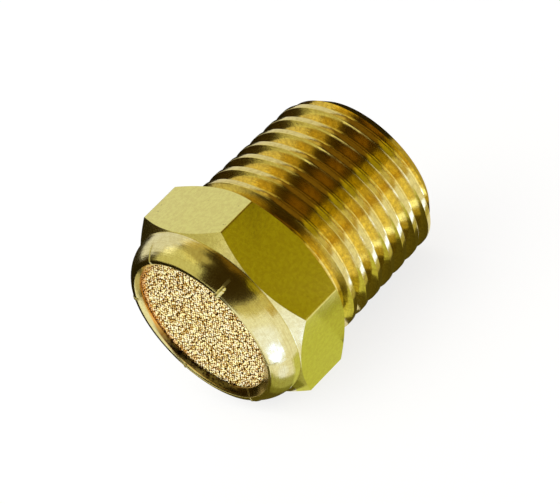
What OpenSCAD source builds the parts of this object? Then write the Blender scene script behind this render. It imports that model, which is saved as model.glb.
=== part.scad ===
// Threaded breather muffler: a turned brass body with a sintered disc held under a rolled lip.
// The turning axis is X, the nose points along +X, and the part lies on one flat of its hex, +Z up.
// The origin is on the axis, in the plane of the hex shoulder where the nose begins.

/* [Pipe nose] */
// Length of the nose, from the hex shoulder to its end face
nose_len = 11.25; // [9:0.25:16]
// Diameter over the thread crests at the end of the nose, before the bevel
nose_end_d = 13.2; // [12.8:0.05:13.8]
// Growth of the nose's diameter per unit of its length
nose_taper = 0.0625; // [0.03:0.0025:0.08]
// Diameter of the nose's end face, inside the bevel
end_face_d = 11.2; // [10.4:0.1:12]
// Length of the bevel at the end of the nose
end_bevel_len = 1.2; // [0.6:0.1:2]
// Diameter of the relief neck beside the shoulder
neck_d = 12.4; // [11.8:0.1:13]
// Length of the relief neck's straight part
neck_len = 0.3; // [0.2:0.1:1]
// Slope of the neck's side under the first thread, from the end plane
neck_side_deg = 30; // [15:1:60]

/* [Hex] */
// Width across the flats
hex_af = 14.29; // [14:0.01:16]
// Length of the hex along the axis
hex_len = 4.7; // [4:0.1:8]
// Slope of the corner bevel on the nose side, from the end plane
rear_bevel_deg = 30; // [15:1:40]
// Slope of the corner bevel on the disc side, from the end plane
front_bevel_deg = 36; // [15:1:40]

/* [Collar and rolled lip] */
// Thickness of the collar's wall round the disc
collar_wall = 0.8; // [0.5:0.05:1]
// Length of the straight collar between the hex and the roll
collar_len = 0.1; // [0.05:0.05:2]
// Outside radius of the rolled wall
roll_r = 2.65; // [2.2:0.05:3]
// Angle that the wall rolls inwards before the bead
roll_deg = 46; // [40:1:52]
// Radius of the bead along the front of the lip
bead_r = 0.3; // [0.24:0.02:0.4]
// Radius of the lip's thin inner edge
edge_r = 0.1; // [0.06:0.02:0.16]
// Distance that the thin edge reaches inwards from the middle of the bead
edge_in = 0.4; // [0.3:0.05:0.5]
// Distance along the axis that the thin edge lies behind the middle of the bead
edge_drop = 0.08; // [0:0.02:0.12]

/* [Crimp marks] */
// Number of ridges that the crimping jaws leave round the lip
mark_count = 6; // [2:1:12]
// Height of a ridge over the lip
mark_h = 0.07; // [0.03:0.01:0.15]
// Width of a ridge, as an angle round the axis
mark_deg = 2.8; // [0.8:0.1:4]
// Length of a ridge along the axis, from the front of the lip
mark_len = 1.3; // [0.9:0.1:1.6]
// Turn of the first ridge from a corner of the hex
mark_turn_deg = 18; // [0:1:60]

/* [Sintered disc] */
// Diameter of the disc
disc_d = 12.5; // [12:0.1:12.8]
// Thickness of the disc
disc_t = 3; // [1.5:0.1:4]
// Bevel round both edges of the disc
disc_bevel = 0.25; // [0.1:0.05:0.5]
// Clearance between the disc and the pocket wall
disc_gap = 0.05; // [0.02:0.01:0.15]

/* [Air bore] */
// Diameter of the bore through the nose
bore_d = 8.5; // [6:0.1:9.5]
// Bevel at the mouth of the bore
bore_bevel = 0.3; // [0.1:0.05:0.5]

/* [Hidden] */
$fn = 96;
// Extra length on a cut, so that it runs clear of the face it opens
over = 1;
hex_corner_turn = 30;
hex_corner_r = hex_af / 2 / cos(hex_corner_turn);
disc_r = disc_d / 2;
pocket_r = disc_r + disc_gap;
collar_r = pocket_r + collar_wall;
bore_r = bore_d / 2;
// A section point is [radius, place along the axis], and the disc's side of the shoulder is minus
roll_start = -hex_len - collar_len;
roll_dir = [cos(roll_deg), -sin(roll_deg)];
roll_centre = [collar_r - roll_r, roll_start];
bead_centre = roll_centre + (roll_r - bead_r) * roll_dir;
edge_centre = bead_centre + [-edge_in, edge_drop];
// Way that the straight slope from the bead down to the edge faces, square to the line that touches both
slope_deg = atan2(edge_drop, edge_in) + acos((edge_r - bead_r) / norm([edge_in, edge_drop]));
slope_dir = [cos(slope_deg), -sin(slope_deg)];
lip_front = bead_centre.y - bead_r;
// The disc is clamped between the lip's thin edge and the seat
disc_front = edge_centre.y + edge_r;
disc_back = disc_front + disc_t;

// Radius over the crests of the nose at a place along the axis
function nose_r(at) = nose_end_d / 2 + (nose_len - at) * nose_taper / 2;

// Lays the turning axis down along X, with one flat of the hex below
module lay_down() {
    rotate([0, 90, 0]) children();
}

// Turned outline of the hex, which bevels its corners at both ends
module hex_section() {
    rim_r = hex_corner_r + over / 2;
    rear_drop = (rim_r - hex_af / 2) * tan(rear_bevel_deg);
    front_drop = (rim_r - collar_r) * tan(front_bevel_deg);
    polygon([
        [0, 0],
        [hex_af / 2, 0],
        [rim_r, -rear_drop],
        [rim_r, front_drop - hex_len],
        [collar_r, -hex_len],
        [0, -hex_len]
    ]);
}

module hex() {
    intersection() {
        rotate([0, 0, hex_corner_turn])
            translate([0, 0, -hex_len])
                cylinder(r = hex_corner_r, h = hex_len, $fn = 6);
        rotate_extrude() hex_section();
    }
}

// Tapered nose at the height of the thread crests, with its relief neck and end bevel
module nose_section() {
    neck_r = neck_d / 2;
    thread_start = neck_len + (nose_r(neck_len) - neck_r) * tan(neck_side_deg);
    bevel_start = nose_len - end_bevel_len;
    polygon([
        [0, -over],
        [neck_r, -over],
        [neck_r, neck_len],
        [nose_r(thread_start), thread_start],
        [nose_r(bevel_start), bevel_start],
        [end_face_d / 2, nose_len],
        [0, nose_len]
    ]);
}

// Collar wall rolled inwards to a bead that thins to its inner edge, with its outside raised by grow
module lip_section(grow = 0) {
    roll_reach = roll_r + over;
    intersection() {
        translate(roll_centre) circle(r = roll_r + grow);
        polygon([
            bead_centre,
            roll_centre + roll_reach * roll_dir,
            roll_centre + [roll_reach, -roll_reach],
            roll_centre + [roll_reach, 0],
            [bead_centre.x, roll_start]
        ]);
    }
    translate(bead_centre) circle(r = bead_r + grow);
    translate(edge_centre) circle(r = edge_r + grow);
    polygon([
        bead_centre + (bead_r + grow) * slope_dir,
        edge_centre + (edge_r + grow) * slope_dir,
        edge_centre,
        [edge_centre.x, disc_front],
        [bead_centre.x, disc_front]
    ]);
}

module collar_section() {
    translate([bead_centre.x, roll_start]) square([collar_r - bead_centre.x, collar_len + over]);
}

// Raised lip section of one crimp mark, down the roll and over the front of the bead
module mark_section() {
    mark_back = lip_front + mark_len;
    intersection() {
        lip_section(mark_h);
        polygon([
            [0, lip_front - over],
            [collar_r + over, lip_front - over],
            [collar_r + over, mark_back],
            [collar_r - collar_wall / 2, mark_back],
            bead_centre,
            [0, bead_centre.y]
        ]);
    }
}

module crimp_marks() {
    for (i = [0 : mark_count - 1])
        rotate([0, 0, hex_corner_turn + mark_turn_deg + i * 360 / mark_count - mark_deg / 2])
            rotate_extrude(angle = mark_deg) mark_section();
}

// Disc pocket with its seat, and the bore from the seat out through the nose
module air_path_section() {
    mouth_r = bore_r + bore_bevel;
    polygon([
        [0, disc_front],
        [pocket_r, disc_front],
        [pocket_r, disc_back],
        [bore_r, disc_back],
        [bore_r, nose_len - bore_bevel],
        [mouth_r, nose_len],
        [mouth_r, nose_len + over],
        [0, nose_len + over]
    ]);
}

module body() {
    color("#c8b54a")
        lay_down()
            difference() {
                union() {
                    hex();
                    rotate_extrude() nose_section();
                    rotate_extrude() collar_section();
                    rotate_extrude() lip_section();
                    crimp_marks();
                }
                rotate_extrude() air_path_section();
            }
}

module disc_section() {
    polygon([
        [0, disc_front],
        [disc_r - disc_bevel, disc_front],
        [disc_r, disc_front + disc_bevel],
        [disc_r, disc_back - disc_bevel],
        [disc_r - disc_bevel, disc_back],
        [0, disc_back]
    ]);
}

module sintered_disc() {
    color("#c9a878")
        lay_down()
            rotate_extrude() disc_section();
}

body();
sintered_disc();
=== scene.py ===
import math
import random
import bpy
from mathutils import Matrix, Vector


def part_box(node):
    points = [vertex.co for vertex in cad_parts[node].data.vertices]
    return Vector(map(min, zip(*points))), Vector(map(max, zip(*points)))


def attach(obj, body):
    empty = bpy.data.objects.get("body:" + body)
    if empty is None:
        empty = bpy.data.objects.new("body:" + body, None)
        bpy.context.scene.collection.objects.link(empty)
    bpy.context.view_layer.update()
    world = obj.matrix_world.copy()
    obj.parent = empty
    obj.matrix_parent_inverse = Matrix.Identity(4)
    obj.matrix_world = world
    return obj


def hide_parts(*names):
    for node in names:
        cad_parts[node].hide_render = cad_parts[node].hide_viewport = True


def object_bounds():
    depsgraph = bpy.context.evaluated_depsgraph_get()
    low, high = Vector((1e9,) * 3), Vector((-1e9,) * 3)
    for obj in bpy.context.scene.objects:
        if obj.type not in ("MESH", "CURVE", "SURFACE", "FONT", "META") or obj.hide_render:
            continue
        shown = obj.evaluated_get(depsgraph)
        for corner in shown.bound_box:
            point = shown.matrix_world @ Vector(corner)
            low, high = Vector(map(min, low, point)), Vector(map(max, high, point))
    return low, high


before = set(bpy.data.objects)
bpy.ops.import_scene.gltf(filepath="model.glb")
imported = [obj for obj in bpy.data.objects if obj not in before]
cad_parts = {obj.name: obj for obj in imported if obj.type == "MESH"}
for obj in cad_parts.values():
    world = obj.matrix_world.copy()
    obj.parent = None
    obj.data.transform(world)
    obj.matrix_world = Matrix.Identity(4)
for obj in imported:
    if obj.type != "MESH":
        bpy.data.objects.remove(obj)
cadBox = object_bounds()
print("frame loaded")

mm = 0.001               # pieces are shaped in millimetres and shrunk to metres when they are done
turnSteps = 192          # faces round a turned shape
seamGap = 0.0005         # corners nearer than this are joined


# shaping helpers

def deselectAll():
    if bpy.context.object and bpy.context.object.mode != "OBJECT":
        bpy.ops.object.mode_set(mode="OBJECT")
    bpy.ops.object.select_all(action="DESELECT")


def pickOnly(piece):
    deselectAll()
    piece.select_set(True)
    bpy.context.view_layer.objects.active = piece


def inMillimetres(corner):
    return Vector(corner) / mm


def arc(centre, radius, fromDeg, toDeg, count):      # (x, r) points, from outwards round to the disc's end
    turns = [math.radians(fromDeg + (toDeg - fromDeg) * i / count) for i in range(count + 1)]
    return [(centre[0] - radius * math.sin(t), centre[1] + radius * math.cos(t)) for t in turns]


def drawLine(name, points):                          # a line of (x, r) points in the XZ plane
    deselectAll()
    bpy.ops.mesh.primitive_plane_add(size=1)
    piece = bpy.context.object
    piece.name = name
    bpy.ops.object.mode_set(mode="EDIT")
    bpy.ops.mesh.select_mode(type="VERT")
    bpy.ops.mesh.select_all(action="SELECT")
    bpy.ops.mesh.merge(type="CENTER")
    bpy.ops.transform.translate(value=(points[0][0], 0, points[0][1]))
    for (x0, r0), (x1, r1) in zip(points, points[1:]):
        bpy.ops.mesh.extrude_vertices_move(TRANSFORM_OT_translate={"value": (x1 - x0, 0, r1 - r0)})
    bpy.ops.object.mode_set(mode="OBJECT")
    return piece


def closeUp(piece):                                  # joins seams and poles, then points the faces outwards
    pickOnly(piece)
    bpy.ops.object.mode_set(mode="EDIT")
    bpy.ops.mesh.select_all(action="SELECT")
    bpy.ops.mesh.remove_doubles(threshold=seamGap)
    bpy.ops.mesh.normals_make_consistent(inside=False)
    bpy.ops.object.mode_set(mode="OBJECT")


def turnSolid(name, points, steps=turnSteps):        # a solid turned from an outline that ends on the axis
    piece = drawLine(name, points)
    bpy.ops.object.mode_set(mode="EDIT")
    bpy.ops.mesh.select_all(action="SELECT")
    bpy.ops.mesh.spin(steps=steps, angle=math.tau, center=(0, 0, 0), axis=(1, 0, 0))
    bpy.ops.object.mode_set(mode="OBJECT")
    closeUp(piece)
    return piece


def applyModifier(piece, kind, **settings):
    pickOnly(piece)
    modifier = piece.modifiers.new(kind.lower(), kind)
    for key, value in settings.items():
        setattr(modifier, key, value)
    bpy.ops.object.modifier_apply(modifier=modifier.name)


def combine(piece, tool, operation):                 # boolean with a tool that is used up
    applyModifier(piece, "BOOLEAN", operation=operation, object=tool, solver="EXACT")
    bpy.data.objects.remove(tool)


def selectCorners(piece, wanted):                    # in edit mode: only the corners that pass the test
    bpy.ops.mesh.select_mode(type="VERT")
    bpy.ops.mesh.select_all(action="DESELECT")
    bpy.ops.object.mode_set(mode="OBJECT")
    for corner in piece.data.vertices:
        corner.select = wanted(corner.co)
    bpy.ops.object.mode_set(mode="EDIT")


def selectEdges(piece, wanted):                      # in edit mode: only the edges whose ends both pass it
    bpy.ops.mesh.select_mode(type="EDGE")
    bpy.ops.mesh.select_all(action="DESELECT")
    bpy.ops.object.mode_set(mode="OBJECT")
    corners = piece.data.vertices
    for edge in piece.data.edges:
        edge.select = wanted(*(corners[i].co for i in edge.vertices))
    bpy.ops.object.mode_set(mode="EDIT")


def shrinkToMetres(piece):
    pickOnly(piece)
    bpy.ops.object.mode_set(mode="EDIT")
    bpy.ops.mesh.select_all(action="SELECT")
    bpy.ops.transform.resize(value=(mm, mm, mm), center_override=(0, 0, 0))
    bpy.ops.object.mode_set(mode="OBJECT")


# brass body: hex, threaded nose, collar with its rolled lip, crimp ridges and air bore

bodyLow, bodyHigh = map(inMillimetres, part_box("body"))
discLow, discHigh = map(inMillimetres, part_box("sintered_disc"))

hexSet = dict(
    flats=bodyHigh.z - bodyLow.z,
    length=4.7,
    rearBevelDeg=30,
    frontBevelDeg=36,
    rearStep=0.04,         # the rear bevel cuts this far inside the flats
    frontStep=0.02,        # flat ring left between the front bevel and the collar
    edgeRound=0.08,
    edgeSegments=4,
    rimSpare=0.5,          # how far the bevel cutter reaches past the corners
    endSpare=1,            # and past the ends
)
noseSet = dict(
    length=bodyHigh.x,
    endD=13.2,
    taper=1 / 16,
    endFaceD=11.2,
    endBevel=1.2,
    neckD=12.4,
    neckLength=0.3,
    neckSideDeg=30,
    inside=0.8,            # how far it reaches into the hex
    rodSpare=0.4,          # length of threaded rod to cut off at each end
    clear=0.02,            # the envelope clears the crests, and cuts only the two ends
)
threadSet = dict(
    pitch=25.4 / 18,
    crestFlat=0.40,
    depth=0.80,
    flankDeg=27.5,
    edgeRound=0.045,
    rootRound=0.07,
    crestAtTop=2.398,      # x of a crest on the upper side
    turns=12,
    turnsBefore=4,         # of these, the turns up to that crest
    steps=160,
    roundSteps=3,
)
lipSet = dict(
    wall=0.8,
    straight=0.1,
    rollR=2.65,
    rollDeg=46,
    beadR=0.3,
    edgeR=0.1,             # thin inner edge that presses on the disc
    edgeIn=0.4,
    edgeDrop=0.08,
    edgeSqueeze=0.984,     # the crimping leaves the opening a little small and off the axis
    edgeShift=(0, 0.11, 0.10),
    sunk=1.0,              # how far the collar reaches into the hex
    floorDepth=0.4,        # closes the lip's solid under the disc's front, where the pocket cuts it
    middleR=1,             # corners inside this radius stay where they are
    edgeEndDeg=262,
    rollSteps=20,
    beadSteps=10,
    edgeSteps=8,
)
boreSet = dict(
    d=8.5,
    mouthBevel=0.3,
    pocketGap=0.05,        # round the disc
    frontGap=0.012,        # cuts just through the round of the lip's edge, which lies on the disc
    spare=1,
)
smoothDeg = 28           # sharper edges of the body stay crisp
hexTurn = math.radians(30)

hexR = hexSet["flats"] / 2
discR = discHigh.y
pocketR = discR + boreSet["pocketGap"]
collarR = pocketR + lipSet["wall"]


def noseR(x):
    return noseSet["endD"] / 2 + (noseSet["length"] - x) * noseSet["taper"] / 2


def makeHex():
    cornerR = hexR / math.cos(hexTurn)
    length, spare = hexSet["length"], hexSet["endSpare"]
    deselectAll()
    bpy.ops.mesh.primitive_cylinder_add(vertices=6, radius=cornerR, depth=length,
                                        location=(-length / 2, 0, 0), rotation=(0, math.radians(90), 0))
    piece = bpy.context.object
    bpy.ops.object.transform_apply(location=True, rotation=True, scale=True)
    bpy.ops.object.mode_set(mode="EDIT")
    bpy.ops.mesh.select_all(action="SELECT")
    if max(v.co.z for v in piece.data.vertices) > (hexR + cornerR) / 2:      # a corner is up, not a flat
        bpy.ops.transform.rotate(value=hexTurn, orient_axis="X", center_override=(0, 0, 0))
    selectEdges(piece, lambda a, b: abs(a.x - b.x) > length / 2)
    bpy.ops.mesh.bevel(offset=hexSet["edgeRound"], segments=hexSet["edgeSegments"])
    bpy.ops.object.mode_set(mode="OBJECT")
    rim = cornerR + hexSet["rimSpare"]
    rearR = hexR - hexSet["rearStep"]
    frontR = collarR + hexSet["frontStep"]
    rearSlope = math.tan(math.radians(hexSet["rearBevelDeg"]))
    frontSlope = math.tan(math.radians(hexSet["frontBevelDeg"]))
    bevels = turnSolid("hexBevels", [
        (spare, 0), (spare, rearR - spare / rearSlope), (-(rim - rearR) * rearSlope, rim),
        ((rim - frontR) * frontSlope - length, rim), (-length, frontR),
        (-length - spare, frontR), (-length - spare, 0)])
    combine(piece, bevels, "INTERSECT")
    return piece


def threadOutline():                                 # one pitch, from the middle of a crest to the next
    pitch = threadSet["pitch"]
    half = threadSet["crestFlat"] / 2
    depth = threadSet["depth"]
    crestR = noseR(threadSet["crestAtTop"])
    run = depth * math.tan(math.radians(threadSet["flankDeg"]))
    edge, root = threadSet["edgeRound"], threadSet["rootRound"]
    sweep = 90 - threadSet["flankDeg"]
    side = math.tan(math.radians(sweep / 2))
    edgeIn, rootIn = edge * side, root * side        # tangent lengths of the rounded corners

    def corner(centreX, centreR, radius):            # a radius below 0 rounds a hollow corner
        steps = threadSet["roundSteps"]
        turns = [math.radians(sweep * i / steps) for i in range(steps + 1)]
        return [(centreX + radius * math.sin(t), centreR + radius * math.cos(t)) for t in turns]

    crestEdge = corner(half - edgeIn, crestR - edge, edge)
    rootCorner = corner(half + run + rootIn, crestR - depth + root, -root)[::-1]
    firstHalf = [(0, crestR)] + crestEdge + rootCorner
    secondHalf = [(pitch - x, r) for x, r in reversed(firstHalf)]
    start = threadSet["crestAtTop"] - threadSet["turnsBefore"] * pitch
    return [(x + start, r) for x, r in firstHalf + secondHalf]


def makeNose():
    rod = drawLine("threadedRod", threadOutline())
    applyModifier(rod, "SCREW", axis="X", angle=math.tau, screw_offset=threadSet["pitch"],
                  iterations=threadSet["turns"], steps=threadSet["steps"], render_steps=threadSet["steps"],
                  use_normal_calculate=True)
    closeUp(rod)
    length, bevel = noseSet["length"], noseSet["endBevel"]
    inside, spare = noseSet["inside"], noseSet["rodSpare"]
    bpy.ops.object.mode_set(mode="EDIT")
    for x, side in ((-inside - spare, -1), (length + spare, 1)):
        bpy.ops.mesh.select_all(action="SELECT")
        bpy.ops.mesh.bisect(plane_co=(x, 0, 0), plane_no=(side, 0, 0), use_fill=True,
                            clear_outer=True, threshold=0.0001)
    bpy.ops.object.mode_set(mode="OBJECT")
    closeUp(rod)
    span = max(v.co.x for v in rod.data.vertices) - min(v.co.x for v in rod.data.vertices)
    crestR = noseR(threadSet["crestAtTop"])
    atOrigin = noseR(0) / crestR                     # the rod is still straight: size it for x = 0
    for vertex in rod.data.vertices:
        vertex.co.y *= atOrigin
        vertex.co.z *= atOrigin
    applyModifier(rod, "SIMPLE_DEFORM", deform_method="TAPER", deform_axis="X",
                  factor=-span * noseSet["taper"] / 2 / noseR(0))
    neckR = noseSet["neckD"] / 2
    neckEnd, clear = noseSet["neckLength"], noseSet["clear"]
    threadStart = neckEnd + (noseR(0) - neckR) * math.tan(math.radians(noseSet["neckSideDeg"]))
    envelope = turnSolid("noseEnvelope", [
        (-inside, 0), (-inside, neckR), (neckEnd, neckR), (threadStart, noseR(threadStart) + clear),
        (length - bevel, noseR(length - bevel) + clear), (length, noseSet["endFaceD"] / 2), (length, 0)])
    combine(rod, envelope, "INTERSECT")
    return rod


def lipCentres():                                    # (x, r) of the roll, the bead and the thin edge
    roll = (-hexSet["length"] - lipSet["straight"], collarR - lipSet["rollR"])
    reach, turn = lipSet["rollR"] - lipSet["beadR"], math.radians(lipSet["rollDeg"])
    bead = (roll[0] - reach * math.sin(turn), roll[1] + reach * math.cos(turn))
    return roll, bead, (bead[0] + lipSet["edgeDrop"], bead[1] - lipSet["edgeIn"])


def lipSlopeDeg():                                   # where the straight slope leaves the bead
    lean = math.atan2(lipSet["edgeDrop"], lipSet["edgeIn"])
    gap = math.hypot(lipSet["edgeDrop"], lipSet["edgeIn"])
    return math.degrees(lean + math.acos((lipSet["edgeR"] - lipSet["beadR"]) / gap))


def lipOutline():                                    # from inside the hex over collar, roll, bead and edge
    rollCentre, beadCentre, edgeCentre = lipCentres()
    roll = arc(rollCentre, lipSet["rollR"], 0, lipSet["rollDeg"], lipSet["rollSteps"])
    bead = arc(beadCentre, lipSet["beadR"], lipSet["rollDeg"], lipSlopeDeg(), lipSet["beadSteps"])
    edge = arc(edgeCentre, lipSet["edgeR"], lipSlopeDeg(), lipSet["edgeEndDeg"], lipSet["edgeSteps"])
    return [(-hexSet["length"] + lipSet["sunk"], collarR)] + roll + bead[1:] + edge


def makeLip():
    outline = lipOutline()
    sunk = outline[0][0]
    floor = discLow.x + lipSet["floorDepth"]
    lip = turnSolid("rolledLip", [(sunk, 0)] + outline + [(floor, outline[-1][1]), (floor, 0)])
    edgeR = lipCentres()[2][1] + lipSet["edgeR"] / 2
    squeeze = lipSet["edgeSqueeze"]
    pickOnly(lip)
    bpy.ops.object.mode_set(mode="EDIT")
    selectCorners(lip, lambda c: lipSet["middleR"] < math.hypot(c.y, c.z) < edgeR)
    bpy.ops.transform.resize(value=(1, squeeze, squeeze), center_override=(0, 0, 0))
    bpy.ops.transform.translate(value=lipSet["edgeShift"])
    bpy.ops.object.mode_set(mode="OBJECT")
    return lip


def makeAirPath():
    boreR = boreSet["d"] / 2
    length, mouth, spare = noseSet["length"], boreSet["mouthBevel"], boreSet["spare"]
    front = discLow.x - boreSet["frontGap"]
    return turnSolid("airPath", [
        (front, 0), (front, pocketR), (discHigh.x, pocketR), (discHigh.x, boreR),
        (length - mouth, boreR), (length, boreR + mouth),
        (length + spare, boreR + mouth), (length + spare, 0)])


crimpSet = dict(
    count=6,
    firstDeg=18,           # angle round the axis, from a corner of the hex
    halfWidth=0.15,
    stand=0.085,           # height over the lip
    marks=[                # share of the width, and length
        (0.9, 0.5), (0.75, 1.1), (1.45, 0.65), (0.8, 0.8), (0.9, 0.6), (0.85, 0.4)],
    lean=0.10,             # how far a mark may drift round the axis
    wander=0.03,
    swell=(0.85, 1.1),     # share of the width that it may have at any point
    thin=0.3,              # and how much it loses towards its back end
    beadSteps=6,
    rollSteps=8,
    roundSteps=3,
    seed=5,
)


def makeRidge(width, length, draw):                  # low flash that the crimping jaws leave across the lip
    rollCentre, beadCentre, _ = lipCentres()
    sink = crimpSet["halfWidth"] - crimpSet["stand"]
    backDeg = lipSet["rollDeg"] - math.degrees(length / lipSet["rollR"])
    path = arc(beadCentre, lipSet["beadR"] - sink, lipSlopeDeg(), lipSet["rollDeg"],
               crimpSet["beadSteps"])
    path += arc(rollCentre, lipSet["rollR"] - sink, lipSet["rollDeg"], backDeg,
                crimpSet["rollSteps"])[1:]
    ridge = drawLine("ridge", path)
    bpy.ops.object.convert(target="CURVE")
    curve = ridge.data
    curve.bevel_depth = crimpSet["halfWidth"] * width
    curve.bevel_resolution = crimpSet["roundSteps"]
    curve.use_fill_caps = True
    points = curve.splines[0].points
    lean = draw.uniform(-1, 1) * crimpSet["lean"]
    for i, point in enumerate(points):
        along = i / (len(points) - 1)
        point.radius = draw.uniform(*crimpSet["swell"]) * (1 - crimpSet["thin"] * along ** 4)
        point.co.y = lean * along + draw.uniform(-1, 1) * crimpSet["wander"] * along
    bpy.ops.object.convert(target="MESH")
    ridge = bpy.context.object
    closeUp(ridge)
    return ridge


def addRidges(piece):
    draw = random.Random(crimpSet["seed"])
    for i, (width, length) in enumerate(crimpSet["marks"]):
        ridge = makeRidge(width, length, draw)
        pickOnly(ridge)
        ridge.rotation_euler.x = math.radians(crimpSet["firstDeg"] + i * 360 / crimpSet["count"] - 90)
        bpy.ops.object.transform_apply(location=False, rotation=True, scale=False)
        combine(piece, ridge, "UNION")


brassBody = makeHex()
brassBody.name = brassBody.data.name = "brass_body"
print("hex shaped")
combine(brassBody, makeNose(), "UNION")
print("threaded nose joined")
combine(brassBody, makeLip(), "UNION")
combine(brassBody, makeAirPath(), "DIFFERENCE")
print("lip and air path done", len(brassBody.data.polygons), "faces")
addRidges(brassBody)
print("crimp ridges joined", len(brassBody.data.polygons), "faces")
shrinkToMetres(brassBody)
pickOnly(brassBody)
bpy.ops.object.shade_smooth_by_angle(angle=math.radians(smoothDeg))

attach(brassBody, "root")
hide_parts("body")


# sintered disc: a core under a coat of fused beads, with painted shade darkening the core and the pores

discSet = dict(
    beadR=0.106,
    sizeSpread=0.14,
    beadSegments=7,
    beadRings=5,
    beadCut=0.3,           # where its hidden side is cut flat, as a share of its radius
    spacing=0.225,         # from bead to bead in the rows that show
    underSpacing=0.30,
    backSpacing=0.29,
    nudge=0.24,            # share of the spacing
    topDepth=0.06,         # how far the top beads may sit below the front face
    underDepths=(0.15, 0.24),    # depth of the lower beads that show through the pores
    coreDepth=0.34,
    coreSteps=96,
    frontR=5.98,
    backR=4.32,            # the bore shows only this much of the back
    seed=11,
)


def makeBead():                                      # one bead, cut flat where it sinks into the disc
    deselectAll()
    bpy.ops.mesh.primitive_uv_sphere_add(segments=discSet["beadSegments"], ring_count=discSet["beadRings"],
                                         radius=1, rotation=(0, math.radians(-90), 0))
    bead = bpy.context.object
    bpy.ops.object.transform_apply(location=False, rotation=True, scale=False)
    bpy.ops.object.mode_set(mode="EDIT")
    bpy.ops.mesh.select_all(action="SELECT")
    bpy.ops.mesh.bisect(plane_co=(discSet["beadCut"], 0, 0), plane_no=(1, 0, 0), use_fill=True,
                        clear_outer=True)
    bpy.ops.object.mode_set(mode="OBJECT")
    bpy.ops.object.shade_smooth()
    bead.data.attributes.new("beadTone", "FLOAT", "POINT")
    return bead


def beadPlaces(radius, spacing, draw):               # close rows of beads, each nudged out of line
    rise, nudge = spacing * math.sqrt(3) / 2, spacing * discSet["nudge"]
    rows = math.ceil(radius / rise)
    columns = math.ceil(radius / spacing)
    for row in range(-rows, rows + 1):
        for column in range(-columns, columns + 1):
            y = (column + row % 2 / 2) * spacing + draw.uniform(-nudge, nudge)
            z = row * rise + draw.uniform(-nudge, nudge)
            if math.hypot(y, z) < radius:
                yield y, z


def coatWithBeads(bead, faceX, side, radius, spacing, depths, draw):
    made = []
    for y, z in beadPlaces(radius, spacing, draw):
        size = discSet["beadR"] * (1 + draw.uniform(-1, 1) * discSet["sizeSpread"])
        depth = draw.uniform(*depths)
        copy = bead.copy()
        copy.data = bead.data.copy()
        copy.location = (faceX + side * (size + depth), y, z)
        copy.rotation_euler = (draw.uniform(0, math.tau), 0, 0 if side > 0 else math.pi)
        copy.scale = (size, size, size)
        tone = draw.random()
        copy.data.attributes["beadTone"].data.foreach_set("value", [tone] * len(copy.data.vertices))
        bpy.context.scene.collection.objects.link(copy)
        made.append(copy)
    return made


def makeDisc():
    draw = random.Random(discSet["seed"])
    core = discSet["coreDepth"]
    disc = turnSolid("bronze_disc", [
        (discLow.x + core, 0), (discLow.x + core, discR - core), (discLow.x + 2 * core, discR),
        (discHigh.x - 2 * core, discR), (discHigh.x - core, discR - core), (discHigh.x - core, 0)],
        discSet["coreSteps"])
    disc.data.attributes.new("beadTone", "FLOAT", "POINT")
    bead = makeBead()
    top, under = discSet["topDepth"], discSet["underDepths"]
    frontR, backR = discSet["frontR"], discSet["backR"]
    beads = coatWithBeads(bead, discLow.x, 1, frontR, discSet["spacing"], (0, top), draw)
    beads += coatWithBeads(bead, discLow.x, 1, frontR, discSet["underSpacing"], under, draw)
    beads += coatWithBeads(bead, discHigh.x, -1, backR, discSet["backSpacing"], (0, top), draw)
    bpy.data.objects.remove(bead)
    deselectAll()
    for piece in beads:
        piece.select_set(True)
    disc.select_set(True)
    bpy.context.view_layer.objects.active = disc
    bpy.ops.object.join()
    return disc


bronzeDisc = makeDisc()
bronzeDisc.data.name = "bronze_disc"
print("disc coated", sum(len(f.vertices) - 2 for f in bronzeDisc.data.polygons), "triangles")
shrinkToMetres(bronzeDisc)
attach(bronzeDisc, "root")
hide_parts("sintered_disc")


# materials

def addNode(tree, kind, inputs=None, **settings):    # inputs: socket name or number to value or socket
    made = tree.nodes.new("ShaderNode" + kind)
    for key, value in settings.items():
        setattr(made, key, value)
    for key, value in (inputs or {}).items():
        if isinstance(value, bpy.types.NodeSocket):
            tree.links.new(value, made.inputs[key])
        else:
            made.inputs[key].default_value = value
    return made


def calc(tree, operation, *values):
    return addNode(tree, "Math", dict(enumerate(values)), operation=operation).outputs[0]


def ramp(tree, value, low, high, toLow=0.0, toHigh=1.0):     # smooth step from low to high
    sockets = {"Value": value, "From Min": low, "From Max": high, "To Min": toLow, "To Max": toHigh}
    return addNode(tree, "MapRange", sockets, interpolation_type="SMOOTHSTEP").outputs["Result"]


def blend(tree, factor, first, second):              # colours or sockets
    return addNode(tree, "Mix", {"Factor": factor, 6: first, 7: second}, data_type="RGBA").outputs[2]


def newGroup(name, inputs, outputs):
    tree = bpy.data.node_groups.new(name, "ShaderNodeTree")
    for label in inputs:
        tree.interface.new_socket(name=label, in_out="INPUT", socket_type="NodeSocketFloat")
    for label in outputs:
        tree.interface.new_socket(name=label, in_out="OUTPUT", socket_type="NodeSocketFloat")
    return tree, tree.nodes.new("NodeGroupInput").outputs, tree.nodes.new("NodeGroupOutput").inputs


def useGroup(tree, group, inputs=None):
    made = tree.nodes.new("ShaderNodeGroup")
    made.node_tree = group
    for key, value in (inputs or {}).items():
        made.inputs[key].default_value = value
    return made.outputs


def placeOnAxis(tree):                               # x along the axis and radius from it, in millimetres
    coords = addNode(tree, "TexCoord").outputs
    split = addNode(tree, "SeparateXYZ", {0: coords["Object"]}).outputs
    across = calc(tree, "SQRT", calc(tree, "ADD", calc(tree, "MULTIPLY", split[1], split[1]),
                                     calc(tree, "MULTIPLY", split[2], split[2])))
    return coords, split, calc(tree, "DIVIDE", split[0], mm), calc(tree, "DIVIDE", across, mm)


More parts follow.
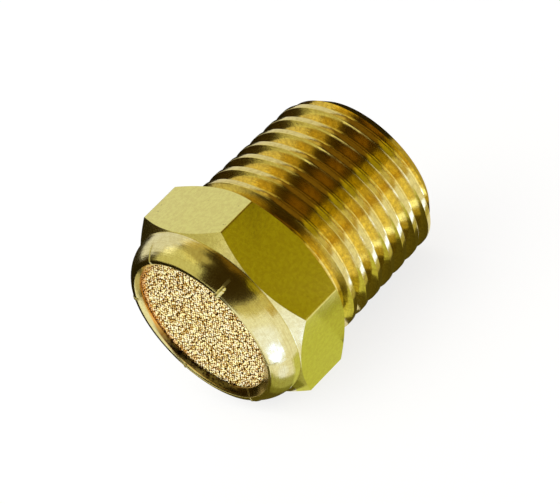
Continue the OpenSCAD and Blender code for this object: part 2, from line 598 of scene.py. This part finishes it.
def aroundAxis(tree, split, angleDeg):               # angle from +Y, counted from the one that is given
    angle = calc(tree, "ARCTAN2", split[2], split[1])
    return calc(tree, "SUBTRACT", angle, math.radians(angleDeg))


def onSide(tree, split, angleDeg, low, high):        # fades in towards this angle round the axis
    return ramp(tree, calc(tree, "COSINE", aroundAxis(tree, split, angleDeg)), low, high)


def grey(value):
    return (value, value, value, 1)


def product(tree, first, *others):
    for other in others:
        first = calc(tree, "MULTIPLY", first, other)
    return first


markSet = dict(
    coneShare=0.6,         # how much the radius counts beside x, so that end faces have rings too
    slow=0.9,              # how fast a ring changes round the axis
    pitShare=0.9,          # cells above this level have a pit
    pitSizes=(0.10, 0.04),
)


def makeTurningMarks():                              # rings that a lathe tool leaves
    tree, given, result = newGroup("turningMarks", ["Lines"], ["Height"])
    _, split, x, r = placeOnAxis(tree)
    along = calc(tree, "MULTIPLY", calc(tree, "MULTIPLY_ADD", r, markSet["coneShare"], x), given["Lines"])
    around = [product(tree, calc(tree, "DIVIDE", split[i], calc(tree, "MULTIPLY", r, mm)), markSet["slow"])
              for i in (1, 2)]
    place = addNode(tree, "CombineXYZ", {0: along, 1: around[0], 2: around[1]}).outputs[0]
    noise = addNode(tree, "TexNoise", {"Vector": place, "Scale": 1, "Detail": 3, "Roughness": 0.65})
    tree.links.new(noise.outputs[0], result["Height"])
    return tree


def makeHandling():                                  # faint cloudy tone and a few tiny pits
    tree, given, result = newGroup("handling", ["Cloud", "Pit"], ["Tone", "Pits"])
    coords = addNode(tree, "TexCoord").outputs["Object"]
    scaled = addNode(tree, "VectorMath", {0: coords, "Scale": 1 / mm}, operation="SCALE").outputs[0]
    cloud = addNode(tree, "TexNoise", {"Vector": scaled, "Scale": given["Cloud"],
                                       "Detail": 4, "Roughness": 0.6})
    cells = addNode(tree, "TexVoronoi", {"Vector": scaled, "Scale": given["Pit"], "Randomness": 1})
    level = addNode(tree, "SeparateColor", {0: cells.outputs["Color"]}).outputs[0]
    chosen = calc(tree, "GREATER_THAN", level, markSet["pitShare"])
    spot = ramp(tree, cells.outputs["Distance"], *markSet["pitSizes"])
    tree.links.new(cloud.outputs[0], result["Tone"])
    tree.links.new(calc(tree, "MULTIPLY", chosen, spot), result["Pits"])
    return tree


turningMarks = makeTurningMarks()
handling = makeHandling()

brassSet = dict(           # colours first, then where they lie: x, radius and depth in millimetres
    flats=(0.75, 0.70, 0.20, 1),
    collar=(0.81, 0.74, 0.34, 1),
    crests=(0.77, 0.65, 0.225, 1),
    grooves=(0.95, 0.785, 0.245, 1),
    cloud=(0.55, 0.42, 0.12, 1),
    pits=(0.12, 0.08, 0.02, 1),
    scores=(0.40, 0.27, 0.06, 1),
    slope=(0.46, 0.34, 0.09, 1),     # painted shade, darker inside the lip's bead, on its near side
    farTint=(0.86, 0.40, 0.06, 1),   # orange tint where the lip meets the disc, on its far side
    creviceShade=(0.02, 0.006, 0.002, 1),   # painted shade in the crevice where the lip meets the disc, lowest down
    noseX=(0.02, 0.12),
    collarX=(-4.66, -4.74),
    lipX=(-5.9, -6.1),
    ridgeX=(-5.5, -5.8),
    grooveDepths=(0.05, 0.45),
    bevelTilts=(0.1, 0.3),
    nearSide=(-135, 0.2, 0.7),       # angle round the axis, and where it fades in
    farSide=(-20, 0.1, 0.5),
    lowSide=(-53, 0.6, 0.9),
    slopeRadii=(6.02, 5.88),
    farTintRadii=(5.74, 5.63),
    farTintSpread=0.15,              # how much higher it reaches, lowest down
    creviceShadeRadii=(5.84, 5.78),
    lineCount=9,                     # fine and coarse turning rings
    ringCount=4.5,
    wear={"Cloud": 3.4, "Pit": 1.6},
    scoreLevels=(0.50, 0.66),        # levels of the marks from which they show, and how strongly
    noseScores=0.32,
    collarScores=0.22,
    dullLevels=(0.47, 0.64),
    noseDulled=0.22,
    cloudLevels=(0.36, 0.64, 0.0, 0.32),
    pitStrength=0.8,
    flatRough=0.17,
    collarRough=0.125,
    threadRough=0.09,
    ridgeRough=0.16,
    ridgeCore=0.6,                   # share of a ridge's half width that is dull all over
    lineRough=0.06,
    cloudRough=0.05,
    lineCut=0.5,                     # heights of the marks, as shares of the bump
    collarCut=1.5,
    ringCut=4,
    cloudCut=1.6,
    bump=0.0035 * mm,
)
bronzeSet = dict(
    dullBeads=(1.0, 0.93, 0.42, 1),
    brightBeads=(1.0, 0.99, 0.75, 1),
    beadSideShade=(0.50, 0.235, 0.004, 1),
    poreShade=(0.04, 0.012, 0.0005, 1),
    sideDepths=(0.045, 0.085),       # depths below the face, in millimetres; the beads' sides get painted shade between these
    poreDepths=(0.085, 0.135),
    edgeTint=(0.80, 0.36, 0.05, 1),
    edgeRadii=(5.1, 5.6),
    edgeSide=(10, 0.3, 0.9),         # angle round the axis, and where it fades in
    edgeStrength=0.7,
    wear={"Cloud": 5, "Pit": 3},
    rough=0.2,
    cloudRough=0.2,
    metallic=0.08,
    specular=0.12,
)


def newMaterial(name):
    material = bpy.data.materials.new(name)
    material.use_nodes = True
    return material, material.node_tree, material.node_tree.nodes["Principled BSDF"].inputs


def makeBrass():
    material, tree, shader = newMaterial("turned_brass")
    coords, split, x, r = placeOnAxis(tree)
    onNose, onCollar, onLip = (ramp(tree, x, *brassSet[key]) for key in ("noseX", "collarX", "lipX"))
    crest = calc(tree, "MULTIPLY_ADD", x, -noseSet["taper"] / 2, noseR(0))
    depth = calc(tree, "SUBTRACT", crest, r)
    inGroove = product(tree, onNose, ramp(tree, depth, *brassSet["grooveDepths"]))
    tilt = calc(tree, "ABSOLUTE", addNode(tree, "SeparateXYZ", {0: coords["Normal"]}).outputs[0])
    onBevel = ramp(tree, tilt, *brassSet["bevelTilts"])
    onTurned = calc(tree, "MAXIMUM", calc(tree, "MAXIMUM", onNose, onCollar), onBevel)
    lines = useGroup(tree, turningMarks, {"Lines": brassSet["lineCount"]})["Height"]
    rings = useGroup(tree, turningMarks, {"Lines": brassSet["ringCount"]})["Height"]
    worn = useGroup(tree, handling, brassSet["wear"])

    colour = blend(tree, onNose, brassSet["flats"], brassSet["crests"])
    likeCollar = calc(tree, "MAXIMUM", onCollar, calc(tree, "SUBTRACT", onBevel, onNose))
    colour = blend(tree, likeCollar, colour, brassSet["collar"])
    colour = blend(tree, inGroove, colour, brassSet["grooves"])
    nearSide, farSide, lowSide = (onSide(tree, split, *brassSet[key])
                                  for key in ("nearSide", "farSide", "lowSide"))
    spread = calc(tree, "MULTIPLY_ADD", lowSide, -brassSet["farTintSpread"], r)
    # the near-side and lowest-down colours laid on the lip here are painted shade; the far-side one is an
    # orange tint
    places = (("slope", nearSide, r), ("farTint", farSide, spread), ("creviceShade", lowSide, r))
    for shade, place, reach in places:
        amount = product(tree, onLip, place, ramp(tree, reach, *brassSet[shade + "Radii"]))
        colour = blend(tree, amount, colour, brassSet[shade])
    scoring = calc(tree, "MULTIPLY_ADD", onNose, brassSet["noseScores"],
                   product(tree, onCollar, brassSet["collarScores"]))
    scored = product(tree, ramp(tree, lines, *brassSet["scoreLevels"]), scoring)
    dulling = product(tree, onNose, brassSet["noseDulled"])
    dulled = product(tree, ramp(tree, worn["Tone"], *brassSet["dullLevels"]), dulling)
    colour = blend(tree, calc(tree, "MAXIMUM", scored, dulled), colour, brassSet["scores"])
    colour = blend(tree, ramp(tree, worn["Tone"], *brassSet["cloudLevels"]), colour, brassSet["cloud"])
    colour = blend(tree, product(tree, worn["Pits"], brassSet["pitStrength"]), colour, brassSet["pits"])
    tree.links.new(colour, shader["Base Color"])

    rough = blend(tree, onCollar, grey(brassSet["flatRough"]), grey(brassSet["collarRough"]))
    rough = blend(tree, onNose, rough, grey(brassSet["threadRough"]))
    rough = calc(tree, "ADD", rough, product(tree, lines, product(tree, onTurned, brassSet["lineRough"])))
    step = math.radians(360 / crimpSet["count"])
    turn = aroundAxis(tree, split, crimpSet["firstDeg"])
    aside = product(tree, calc(tree, "ABSOLUTE", calc(tree, "WRAP", turn, step / 2, -step / 2)), r)
    half = crimpSet["halfWidth"]
    overRidge = ramp(tree, aside, half, half * brassSet["ridgeCore"])
    onRidge = product(tree, ramp(tree, x, *brassSet["ridgeX"]), overRidge)
    rough = calc(tree, "MULTIPLY_ADD", onRidge, brassSet["ridgeRough"], rough)
    rough = calc(tree, "ADD", rough, product(tree, worn["Tone"], brassSet["cloudRough"]))
    tree.links.new(rough, shader["Roughness"])

    cutting = calc(tree, "MULTIPLY_ADD", onCollar, brassSet["collarCut"], brassSet["lineCut"])
    cut = product(tree, lines, product(tree, onTurned, cutting))
    cut = calc(tree, "MULTIPLY_ADD", rings, product(tree, onCollar, brassSet["ringCut"]), cut)
    height = calc(tree, "MULTIPLY_ADD", worn["Tone"], brassSet["cloudCut"], cut)
    bump = addNode(tree, "Bump", {"Height": height, "Strength": 1, "Distance": brassSet["bump"]})
    tree.links.new(bump.outputs[0], shader["Normal"])
    shader["Metallic"].default_value = 1
    return material


def makeBronze():
    material, tree, shader = newMaterial("sintered_bronze")
    tone = addNode(tree, "Attribute", attribute_name="beadTone").outputs["Fac"]
    _, split, x, r = placeOnAxis(tree)
    worn = useGroup(tree, handling, bronzeSet["wear"])
    fromFront, fromBack = calc(tree, "SUBTRACT", x, discLow.x), calc(tree, "SUBTRACT", discHigh.x, x)
    depth = calc(tree, "MINIMUM", fromFront, fromBack)
    colour = blend(tree, tone, bronzeSet["dullBeads"], bronzeSet["brightBeads"])
    # painted shade: the beads' sides darken with depth below the face
    colour = blend(tree, ramp(tree, depth, *bronzeSet["sideDepths"]), colour, bronzeSet["beadSideShade"])
    # painted shade: the pores and the core go near black deeper down
    colour = blend(tree, ramp(tree, depth, *bronzeSet["poreDepths"]), colour, bronzeSet["poreShade"])
    edge = product(tree, ramp(tree, r, *bronzeSet["edgeRadii"]),
                   onSide(tree, split, *bronzeSet["edgeSide"]), bronzeSet["edgeStrength"])
    colour = blend(tree, edge, colour, bronzeSet["edgeTint"])
    tree.links.new(colour, shader["Base Color"])
    rough = calc(tree, "MULTIPLY_ADD", worn["Tone"], bronzeSet["cloudRough"], bronzeSet["rough"])
    tree.links.new(rough, shader["Roughness"])
    shader["Metallic"].default_value = bronzeSet["metallic"]
    shader["Specular IOR Level"].default_value = bronzeSet["specular"]
    return material


def dress(piece, material):
    piece.data.materials.clear()
    piece.data.materials.append(material)


dress(brassBody, makeBrass())
dress(bronzeDisc, makeBronze())
print("materials set")


# camera at the photograph's viewing angle

cameraSet = dict(
    azimuthDeg=-29.826,
    elevationDeg=29.69,
    rollDeg=-29.464,
    distance=0.300,
    lens=280.83,
    sensor=36,
    clip=(0.01, 10),
    aimRight=0.0015128,
    aimUp=0.001458,
    aimAlong=-0.00064,
)


def addToScene(name, data):
    made = bpy.data.objects.new(name, data)
    bpy.context.scene.collection.objects.link(made)
    return made


def fromAngles(azimuthDeg, elevationDeg):            # unit vector; azimuth 0 is -Y and 90 is +X
    azimuth, elevation = math.radians(azimuthDeg), math.radians(elevationDeg)
    return Vector((math.sin(azimuth) * math.cos(elevation), -math.cos(azimuth) * math.cos(elevation),
                   math.sin(elevation)))


def makeCamera():
    back = fromAngles(cameraSet["azimuthDeg"], cameraSet["elevationDeg"])
    roll = math.radians(cameraSet["rollDeg"])
    level = Vector((0, 0, 1)).cross(back).normalized()
    upright = back.cross(level)
    right = math.cos(roll) * level + math.sin(roll) * upright
    up = -math.sin(roll) * level + math.cos(roll) * upright
    aim = cameraSet["aimRight"] * right + cameraSet["aimUp"] * up + Vector((cameraSet["aimAlong"], 0, 0))
    place = Matrix((right, up, back)).transposed().to_4x4()
    place.translation = aim + cameraSet["distance"] * back
    data = bpy.data.cameras.new("camera")
    data.lens = cameraSet["lens"]
    data.sensor_width = cameraSet["sensor"]
    data.clip_start, data.clip_end = cameraSet["clip"]
    camera = addToScene("camera", data)
    camera.matrix_world = place
    bpy.context.scene.camera = camera


makeCamera()


# studio: pale floor, soft panels, glowing cards that paint reflections and shadows, and a dim room

panelSet = [             # name, azimuth, elevation, width and height in degrees, brightness, colour
    ("backSoftbox", 155, 32, 72, 58, 0.82, (1.0, 1.0, 1.05)),
    ("leftSoftbox", -128, 42, 52, 52, 0.67, (1.0, 0.96, 0.49)),
    ("sideCard", -96, 13, 17, 18, 0.92, (1.0, 0.97, 0.72)),
    ("overheadCard", -135, 80, 32, 32, 0.48, (1.0, 0.86, 0.34)),
    ("amberCard", 128, 66, 36, 16, 0.62, (1.0, 0.8, 0.26)),
    ("brownCard", 64, 46, 52, 36, 0.16, (1.0, 0.54, 0.05)),
    ("rightCard", 34, 22, 40, 20, 0.36, (1.0, 0.84, 0.02)),
    ("frontCard", -14, 7, 112, 20, 0.66, (1.0, 0.9, 0.42)),
]
glowSet = [              # brighter patches of the floor: x and y from and to, metres, and brightness
    ((0.0045, -0.0114), (0.0150, -0.0089), 3.2),
    ((-0.0132, -0.0148), (-0.0064, -0.0080), 2.6),
    ((-0.0320, -0.0340), (-0.0055, -0.0060), 0.5),
    ((-0.0078, -0.0078), (-0.0058, -0.0056), 0.5),
]
cardSet = [              # glowing cards on the floor that paint reflections of lit floor, the dark ones near the object painted shadow: x and y from and to, metres, and colour
    ((-3, 0.010), (3, 3), (0.02, 0.014, 0.002)),
    ((-0.0130, -0.0030), (-0.0044, 0.0045), (0.10, 0.08, 0.01)),
    ((-0.0085, 0.0045), (-0.0044, 0.010), (0.10, 0.08, 0.01)),
    ((-0.0130, 0.0045), (-0.0085, 0.010), (0.62, 0.54, 0.30)),
    ((-0.0100, -0.0039), (-0.0044, -0.0030), (0.21, 0.20, 0.03)),
    ((-0.0100, -0.0056), (-0.0044, -0.0039), (0.42, 0.42, 0.12)),
    ((0.0004, -0.0049), (0.0024, -0.0030), (0.10, 0.08, 0.01)),
    ((0.0024, -0.0068), (0.0115, 0.010), (0.10, 0.08, 0.01)),
    ((0.0024, -0.0088), (0.0145, -0.0068), (0.55, 0.50, 0.16)),
    ((-0.0044, -0.0084), (0.0004, -0.0030), (0.64, 0.66, 0.18)),
    ((0.0004, -0.0084), (0.0024, -0.0073), (0.40, 0.40, 0.05)),
    ((0.0004, -0.0073), (0.0024, -0.0049), (0.58, 0.58, 0.14)),
    ((0.0145, -0.007), (3, 0.010), (0.42, 0.32, 0.06)),
    ((0, -3), (3, -0.045), (0.62, 0.46, 0.12)),
]
studioSet = dict(
    distance=0.6,
    room=(0.036, 0.021, 0.003),
    floorColour=0.92,
    floorSize=6,
    floorGlow=0.8,         # share of the floor that is plain white, so that the shadow stays faint
    floorDrop=0.00001,     # the floor lies this far below the object, and what lies on it is lifted
    glowLift=0.00003,
    glowColour=(0.16, 0.27, 1.0),
    cardLift=0.00004,
    fill=3.4,
    fillColour=(0.97, 0.99, 1.05),
    fillAngleDeg=120,
    fillLeanDeg=40,        # towards the disc's side
)


def addPanelLight(name, width, height, brightness, colour):
    light = bpy.data.lights.new(name, "AREA")
    light.shape = "RECTANGLE"
    light.size, light.size_y = width, height
    light.energy = math.pi * width * height * brightness     # watts that give the panel this brightness
    light.color = colour
    return addToScene(name, light)


def addPanel(name, azimuthDeg, elevationDeg, widthDeg, heightDeg, brightness, colour):
    distance = studioSet["distance"]
    width, height = (2 * distance * math.tan(math.radians(a / 2)) for a in (widthDeg, heightDeg))
    lamp = addPanelLight(name, width, height, brightness, colour)
    toward = fromAngles(azimuthDeg, elevationDeg)
    lamp.location = toward * distance
    lamp.rotation_mode = "QUATERNION"
    lamp.rotation_quaternion = toward.to_track_quat("Z", "Y")


def midAndSize(corner, opposite):
    pairs = list(zip(corner, opposite))
    return [(a + b) / 2 for a, b in pairs], [b - a for a, b in pairs]


def addGlow(corner, opposite, brightness):
    middle, size = midAndSize(corner, opposite)
    lamp = addPanelLight("floorGlow", *size, brightness, studioSet["glowColour"])
    lamp.data.shape = "ELLIPSE"
    lamp.location = (*middle, cadBox[0].z + studioSet["glowLift"])
    lamp.rotation_euler = (math.pi, 0, 0)            # faces up
    lamp.visible_diffuse = False


def addCard(corner, opposite, colour):               # a glowing card that only reflections see: painted reflection, or painted shadow where it is dark
    middle, size = midAndSize(corner, opposite)
    deselectAll()
    bpy.ops.mesh.primitive_plane_add(size=1, location=(*middle, cadBox[0].z + studioSet["cardLift"]))
    card = bpy.context.object
    card.name = "paintedReflectionCard"
    card.scale = (*size, 1)
    material, _, shader = newMaterial("painted_reflection_card")
    shader["Base Color"].default_value = (0, 0, 0, 1)
    shader["Specular IOR Level"].default_value = 0
    shader["Emission Color"].default_value = (*colour, 1)
    shader["Emission Strength"].default_value = 1
    card.data.materials.append(material)
    card.visible_camera = card.visible_diffuse = card.visible_shadow = card.visible_transmission = False


def addFill():                                       # even light for the floor, with no glint of its own
    light = bpy.data.lights.new("fill", "SUN")
    light.energy = studioSet["fill"]
    light.angle = math.radians(studioSet["fillAngleDeg"])
    light.color = studioSet["fillColour"]
    lamp = addToScene("fill", light)
    lamp.rotation_euler.y = math.radians(-studioSet["fillLeanDeg"])
    lamp.visible_glossy = False


def addFloor():
    deselectAll()
    height = cadBox[0].z - studioSet["floorDrop"]
    bpy.ops.mesh.primitive_plane_add(size=studioSet["floorSize"], location=(0, 0, height))
    floor = bpy.context.object
    floor.name = "floor"
    material, tree, shader = newMaterial("pale_floor")
    shader["Base Color"].default_value = grey(studioSet["floorColour"])
    shader["Roughness"].default_value = 1
    shader["Specular IOR Level"].default_value = 0
    rays = addNode(tree, "LightPath").outputs
    seen = calc(tree, "ADD", calc(tree, "ADD", rays["Is Camera Ray"], rays["Is Glossy Ray"]),
                rays["Is Transmission Ray"])
    share = addNode(tree, "Math", {0: seen, 1: studioSet["floorGlow"]}, operation="MULTIPLY",
                    use_clamp=True)
    white = addNode(tree, "Emission", {"Color": (1, 1, 1, 1), "Strength": 1})
    mixed = addNode(tree, "MixShader", {0: share.outputs[0], 1: tree.nodes["Principled BSDF"].outputs[0],
                                        2: white.outputs[0]})
    tree.links.new(mixed.outputs[0], tree.nodes["Material Output"].inputs["Surface"])
    floor.data.materials.append(material)


for panel in panelSet:
    addPanel(*panel)
for patch in glowSet:
    addGlow(*patch)
for card in cardSet:
    addCard(*card)
addFill()
addFloor()
scene = bpy.context.scene
scene.view_settings.view_transform = "Standard"
scene.world = bpy.data.worlds.new("studio")
scene.world.use_nodes = True
scene.world.node_tree.nodes["Background"].inputs["Color"].default_value = (*studioSet["room"], 1)
print("studio set")
